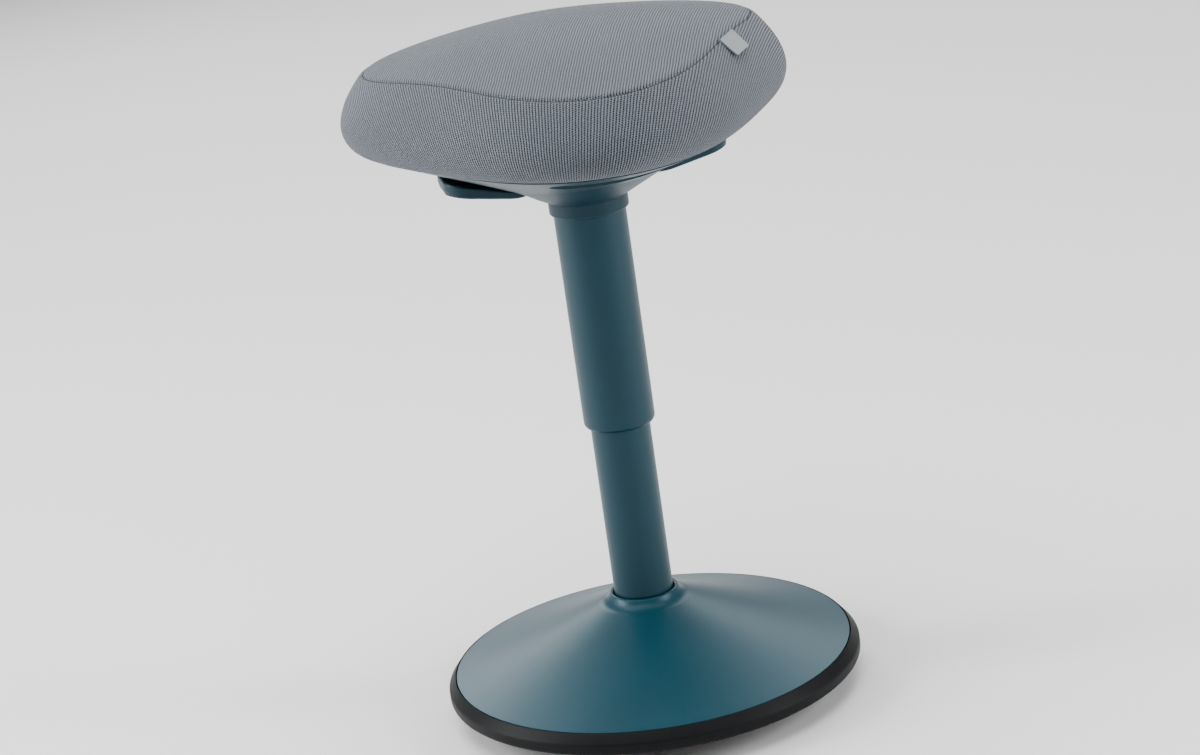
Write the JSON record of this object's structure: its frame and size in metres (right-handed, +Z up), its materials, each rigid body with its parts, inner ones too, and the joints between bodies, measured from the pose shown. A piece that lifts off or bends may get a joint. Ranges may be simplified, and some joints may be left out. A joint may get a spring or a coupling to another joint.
{
  "type": "wobble stool",
  "caption": "Height-adjustable wobble stool with a three-cornered cushioned seat, telescopic column and a weighted, domed rocking base.",
  "frame": {"origin": "on the floor under the centre of the column, in the middle of the flat land of the domed sole", "axes": "+Z up along the column; -Y towards the near corner of the seat, which has the carry grip; +X to the right lever"},
  "size_m": [0.372, 0.374, 0.5846],
  "materials": {
    "rubber_black": "matt",
    "petrol_paint": "satin",
    "petrol_plastic": "satin",
    "steel_plain": "satin",
    "cast_iron": "matt",
    "cast_alloy": "cast",
    "bush_plastic": "satin",
    "bright_steel": "polished",
    "board_wood": "raw",
    "knit_fabric": "knitted mesh",
    "foam": "open cell",
    "label_cloth": "woven"
  },
  "bodies": {
    "base": {"base_cover": "petrol_paint", "edge_ring": "rubber_black", "rocker_pan": "steel_plain", "rubber_sole": "rubber_black", "ballast_disc": "cast_iron", "column_socket": "cast_iron", "socket_bolts": "steel_plain", "column_tube": "petrol_paint", "guide_bush": "bush_plastic", "bearing_lower_race": "steel_plain", "bearing_cage": "bush_plastic", "bearing_balls": "bright_steel"},
    "piston": {"bearing_upper_race": "steel_plain", "piston_rod": "bright_steel", "piston_head": "cast_alloy", "piston_seal": "rubber_black", "travel_buffer": "rubber_black", "rod_clip": "steel_plain"},
    "seat": {"gas_cylinder": "bright_steel", "cylinder_gland": "cast_alloy", "cover_tube": "petrol_paint", "glide_ring": "bush_plastic", "collar_ring": "petrol_plastic", "seat_hub": "cast_alloy", "hub_screws": "steel_plain", "lever_pins": "steel_plain", "seat_shell": "petrol_plastic", "grip_liner": "petrol_plastic", "shell_screws": "steel_plain", "seat_board": "board_wood", "seat_foam": "foam", "cover_band": "knit_fabric", "cover_top": "knit_fabric", "label_tab": "label_cloth"},
    "valve": {"valve_pin": "steel_plain", "press_spool": "bush_plastic"},
    "left_lever": {"left_lever": "petrol_plastic"},
    "right_lever": {"right_lever": "petrol_plastic"}
  },
  "joints": [
    {"name": "seat_swivel", "type": "hinge", "parent": "base", "child": "piston", "pos_m": [0, 0, 0], "axis": [0, 0, 1], "continuous": true},
    {"name": "seat_height", "type": "slide", "parent": "piston", "child": "seat", "axis": [0, 0, 1], "range_m": [-0.12, 0.04]},
    {"name": "left_lever_pull", "type": "hinge", "parent": "seat", "child": "left_lever", "pos_m": [-0.035, 0, 0.472], "axis": [0, 1, 0], "range_deg": [0, 6], "stiffness_Nm_per_rad": 2, "springref_deg": -8.59},
    {"name": "right_lever_pull", "type": "hinge", "parent": "seat", "child": "right_lever", "pos_m": [0.035, 0, 0.472], "axis": [0, -1, 0], "range_deg": [0, 6]},
    {"name": "valve_press", "type": "slide", "parent": "seat", "child": "valve", "axis": [0, 0, -1], "range_m": [0, 0.00296]}
  ],
  "couplings": [
    {"joint": "right_lever_pull", "follows": "left_lever_pull", "ratio": 1},
    {"joint": "valve_press", "follows": "left_lever_pull", "m_per_rad": 0.02815}
  ]
}
